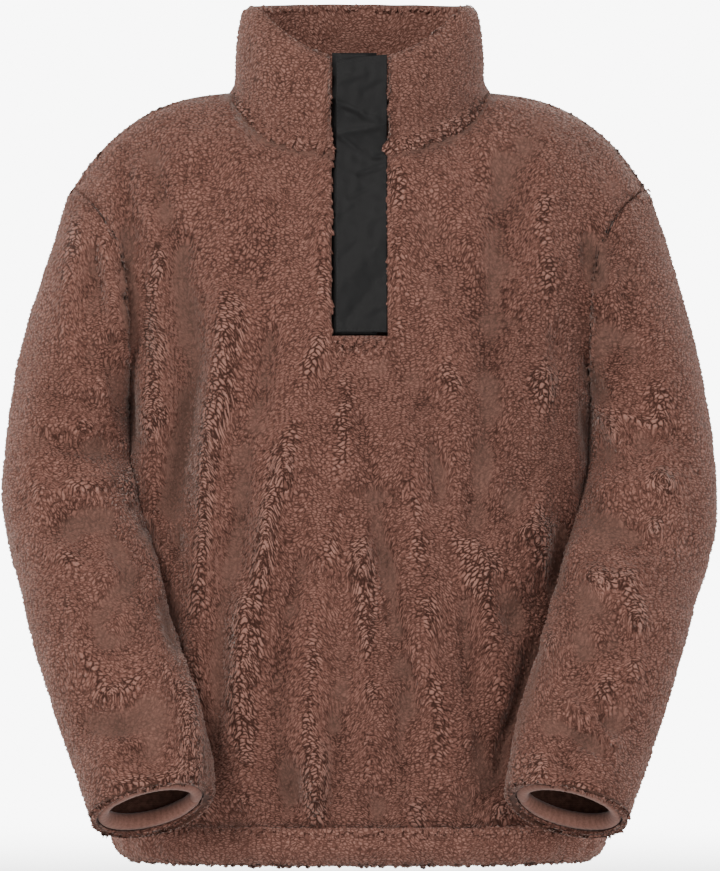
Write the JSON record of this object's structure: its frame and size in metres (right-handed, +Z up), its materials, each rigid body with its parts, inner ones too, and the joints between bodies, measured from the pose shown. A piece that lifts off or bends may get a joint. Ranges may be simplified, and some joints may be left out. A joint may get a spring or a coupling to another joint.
{
  "type": "half-zip fleece pullover",
  "caption": "Thick pile fleece pullover with a stand collar, a covered half-length placket, dropped shoulders, long sleeves and a gathered hem.",
  "frame": {"origin": "inside the neck on the centre plane, level with the neck ends of the shoulder seams, where the wearer's neck and shoulders hold the garment", "axes": "+Z up, the front faces -Y, the wearer's left is at +X"},
  "size_m": [0.592, 0.3293, 0.718],
  "materials": {
    "fleece": "curly pile fleece, matt",
    "collar_fleece": "curly pile fleece, matt, a little lighter",
    "binding": "smooth elastic binding",
    "woven": "plain black woven, slightly crinkled"
  },
  "bodies": {
    "root": {"front": "fleece", "back": "fleece", "sleeve_left": "fleece", "sleeve_right": "fleece", "collar": "collar_fleece", "hem_band": "fleece", "cuff_binding_left": "binding", "cuff_binding_right": "binding", "placket_flap": "woven", "placket_under": "woven"}
  },
  "joints": []
}
